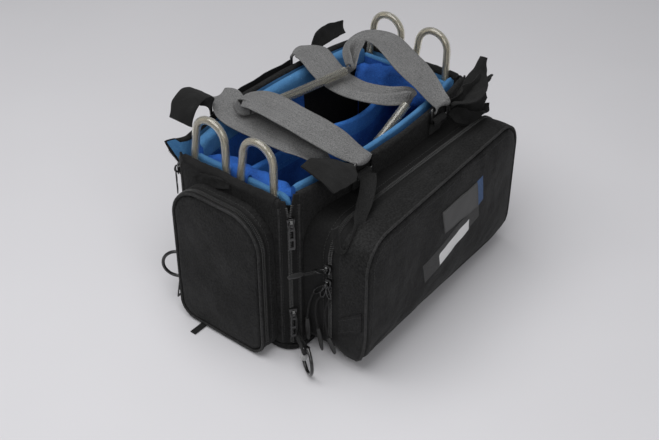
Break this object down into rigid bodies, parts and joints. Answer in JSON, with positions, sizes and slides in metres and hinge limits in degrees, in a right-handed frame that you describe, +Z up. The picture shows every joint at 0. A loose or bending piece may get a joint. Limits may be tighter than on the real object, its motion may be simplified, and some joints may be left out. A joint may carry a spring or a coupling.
{
  "type": "location sound mixer bag",
  "caption": "Open-topped padded field bag for an audio mixer, with fold-down zipped ends, zipped outer pockets, sleeved wire loops and webbing carry handles across the opening.",
  "frame": {"origin": "middle of the base's underside, on the surface that the bag stands on", "axes": "+X along the bag to its far end, -Y out of the side with the large pocket, +Z up"},
  "size_m": [0.4524, 0.3225, 0.2866],
  "materials": {
    "black_nylon": "matte black woven nylon with a fine plain weave",
    "black_hook_tape": "fuzzy black hook-and-loop tape",
    "blue_velvet": "royal-blue brushed velvet lining with a light-blue bound edge",
    "grey_webbing": "mid-grey woven webbing",
    "clear_tube": "clear, slightly yellowed flexible plastic tube",
    "steel_wire": "plain bright steel wire",
    "aluminium_strip": "mill-finish aluminium strip",
    "dark_metal": "gunmetal and black-painted metal, lightly worn"
  },
  "bodies": {
    "case": {"base_panel": "black_nylon", "front_wall": "black_nylon", "back_wall": "black_nylon", "front_pocket_tray": "black_nylon", "front_inner_pad": "blue_velvet", "back_inner_pad": "blue_velvet", "near_end_pad": "blue_velvet", "far_end_pad": "blue_velvet", "curved_divider": "blue_velvet", "frame_strip": "aluminium_strip", "near_loop_wire": "steel_wire", "far_loop_wire": "steel_wire", "near_front_loop_sleeve": "clear_tube", "near_back_loop_sleeve": "clear_tube", "far_front_loop_sleeve": "clear_tube", "far_back_loop_sleeve": "clear_tube", "back_handle_grip": "clear_tube", "back_handle_webbing": "grey_webbing", "front_near_strap_ring": "dark_metal", "front_far_strap_ring": "dark_metal", "back_near_strap_ring": "dark_metal", "back_far_strap_ring": "dark_metal", "front_near_ring_anchor": "black_nylon", "front_far_ring_anchor": "black_nylon", "back_near_ring_anchor": "black_nylon", "back_far_ring_anchor": "black_nylon", "front_near_hook_tab": "black_hook_tape", "front_far_hook_tab": "black_hook_tape", "back_near_hook_tab": "black_hook_tape", "back_far_hook_tab": "black_hook_tape", "floor_board": "black_nylon"},
    "front_handle": {"front_handle_webbing": "grey_webbing", "front_handle_grip": "clear_tube"},
    "near_end": {"near_end_panel": "black_nylon", "near_pocket_tray": "black_nylon"},
    "far_end": {"far_end_panel": "black_nylon", "far_pocket_tray": "black_nylon"},
    "near_lid": {"near_pocket_lid": "black_nylon"},
    "far_lid": {"far_pocket_lid": "black_nylon"},
    "front_lid": {"front_pocket_lid": "black_nylon"},
    "near_front_ring": {"near_front_d_ring": "dark_metal"},
    "far_front_ring": {"far_front_d_ring": "dark_metal"},
    "near_back_ring": {"near_back_d_ring": "dark_metal"},
    "far_back_ring": {"far_back_d_ring": "dark_metal"},
    "near_front_top_zip": {"near_front_top_slider": "dark_metal"},
    "near_front_top_tag": {"near_front_top_pull": "dark_metal"},
    "near_front_low_zip": {"near_front_low_slider": "dark_metal"},
    "near_front_low_tag": {"near_front_low_pull": "dark_metal"},
    "near_back_top_zip": {"near_back_top_slider": "dark_metal"},
    "near_back_top_tag": {"near_back_top_pull": "dark_metal"},
    "far_front_top_zip": {"far_front_top_slider": "dark_metal"},
    "far_front_top_tag": {"far_front_top_pull": "dark_metal"},
    "far_back_top_zip": {"far_back_top_slider": "dark_metal"},
    "far_back_top_tag": {"far_back_top_pull": "dark_metal"},
    "near_pocket_zip": {"near_pocket_slider": "dark_metal"},
    "near_pocket_tag": {"near_pocket_pull": "dark_metal"},
    "far_pocket_zip": {"far_pocket_slider": "dark_metal"},
    "far_pocket_tag": {"far_pocket_pull": "dark_metal"},
    "front_pocket_zip": {"front_pocket_slider": "dark_metal"},
    "front_pocket_tag": {"front_pocket_pull": "dark_metal"}
  },
  "joints": [
    {"name": "front_handle_swing", "type": "hinge", "parent": "case", "child": "front_handle", "pos_m": [0, -0.11351, 0.243], "axis": [1, 0, 0], "range_deg": [0, 105]},
    {"name": "near_end_fold", "type": "hinge", "parent": "case", "child": "near_end", "pos_m": [-0.188, 0, 0.003], "axis": [0, -1, 0], "range_deg": [0, 90]},
    {"name": "near_pocket_open", "type": "hinge", "parent": "near_end", "child": "near_lid", "pos_m": [-0.2073, 0, 0.003], "axis": [0, -1, 0], "range_deg": [0, 100]},
    {"name": "far_end_fold", "type": "hinge", "parent": "case", "child": "far_end", "pos_m": [0.188, 0, 0.003], "axis": [0, 1, 0], "range_deg": [0, 90]},
    {"name": "far_pocket_open", "type": "hinge", "parent": "far_end", "child": "far_lid", "pos_m": [0.2073, 0, 0.003], "axis": [0, 1, 0], "range_deg": [0, 100]},
    {"name": "front_pocket_open", "type": "hinge", "parent": "case", "child": "front_lid", "pos_m": [0, -0.161, 0.009], "axis": [1, 0, 0], "range_deg": [0, 90]},
    {"name": "near_front_ring_swing", "type": "hinge", "parent": "case", "child": "near_front_ring", "pos_m": [-0.19377, -0.119, 0.0262], "axis": [-0.2215, -0.3411, 0.9135], "range_deg": [-40, 40]},
    {"name": "far_front_ring_swing", "type": "hinge", "parent": "case", "child": "far_front_ring", "pos_m": [0.17933, -0.09677, 0.045], "axis": [0, 0, 1], "range_deg": [-15, 40]},
    {"name": "near_back_ring_swing", "type": "hinge", "parent": "case", "child": "near_back_ring", "pos_m": [-0.17933, 0.09677, 0.045], "axis": [0, 0, 1], "range_deg": [-40, 40]},
    {"name": "far_back_ring_swing", "type": "hinge", "parent": "case", "child": "far_back_ring", "pos_m": [0.17933, 0.09677, 0.045], "axis": [0, 0, 1], "range_deg": [-40, 40]},
    {"name": "near_front_top_zip_run", "type": "slide", "parent": "case", "child": "near_front_top_zip", "axis": [0, 0, -1], "range_m": [0, 0.06]},
    {"name": "near_front_top_tag_lift", "type": "hinge", "parent": "near_front_top_zip", "child": "near_front_top_tag", "pos_m": [-0.1797, -0.09495, 0.198], "axis": [-0.8174, 0.5761, 0], "range_deg": [0, 100]},
    {"name": "near_front_low_zip_run", "type": "slide", "parent": "case", "child": "near_front_low_zip", "axis": [0, 0, 1], "range_m": [0, 0.025]},
    {"name": "near_front_low_tag_lift", "type": "hinge", "parent": "near_front_low_zip", "child": "near_front_low_tag", "pos_m": [-0.1797, -0.09495, 0.064], "axis": [-0.8174, 0.5761, 0], "range_deg": [0, 100]},
    {"name": "near_back_top_zip_run", "type": "slide", "parent": "case", "child": "near_back_top_zip", "axis": [0, 0, -1], "range_m": [0, 0.06]},
    {"name": "near_back_top_tag_lift", "type": "hinge", "parent": "near_back_top_zip", "child": "near_back_top_tag", "pos_m": [-0.1797, 0.09495, 0.198], "axis": [0.8174, 0.5761, 0], "range_deg": [0, 100]},
    {"name": "far_front_top_zip_run", "type": "slide", "parent": "case", "child": "far_front_top_zip", "axis": [0, 0, -1], "range_m": [0, 0.06]},
    {"name": "far_front_top_tag_lift", "type": "hinge", "parent": "far_front_top_zip", "child": "far_front_top_tag", "pos_m": [0.1797, -0.09495, 0.198], "axis": [-0.8174, -0.5761, 0], "range_deg": [0, 100]},
    {"name": "far_back_top_zip_run", "type": "slide", "parent": "case", "child": "far_back_top_zip", "axis": [0, 0, -1], "range_m": [0, 0.06]},
    {"name": "far_back_top_tag_lift", "type": "hinge", "parent": "far_back_top_zip", "child": "far_back_top_tag", "pos_m": [0.1797, 0.09495, 0.198], "axis": [0.8174, -0.5761, 0], "range_deg": [0, 100]},
    {"name": "near_pocket_zip_run", "type": "slide", "parent": "near_end", "child": "near_pocket_zip", "axis": [0, 0, 1], "range_m": [0, 0.1]},
    {"name": "near_pocket_tag_lift", "type": "hinge", "parent": "near_pocket_zip", "child": "near_pocket_tag", "pos_m": [-0.2026, 0.0762, 0.05], "axis": [1, 0, 0], "range_deg": [0, 100]},
    {"name": "far_pocket_zip_run", "type": "slide", "parent": "far_end", "child": "far_pocket_zip", "axis": [0, 0, 1], "range_m": [0, 0.1]},
    {"name": "far_pocket_tag_lift", "type": "hinge", "parent": "far_pocket_zip", "child": "far_pocket_tag", "pos_m": [0.2026, 0.0762, 0.05], "axis": [1, 0, 0], "range_deg": [0, 100]},
    {"name": "front_pocket_zip_run", "type": "slide", "parent": "case", "child": "front_pocket_zip", "axis": [0, 0, -1], "range_m": [0, 0.09]},
    {"name": "front_pocket_tag_lift", "type": "hinge", "parent": "front_pocket_zip", "child": "front_pocket_tag", "pos_m": [-0.1722, -0.1306, 0.146], "axis": [0, 1, 0], "range_deg": [-110, 40]}
  ]
}
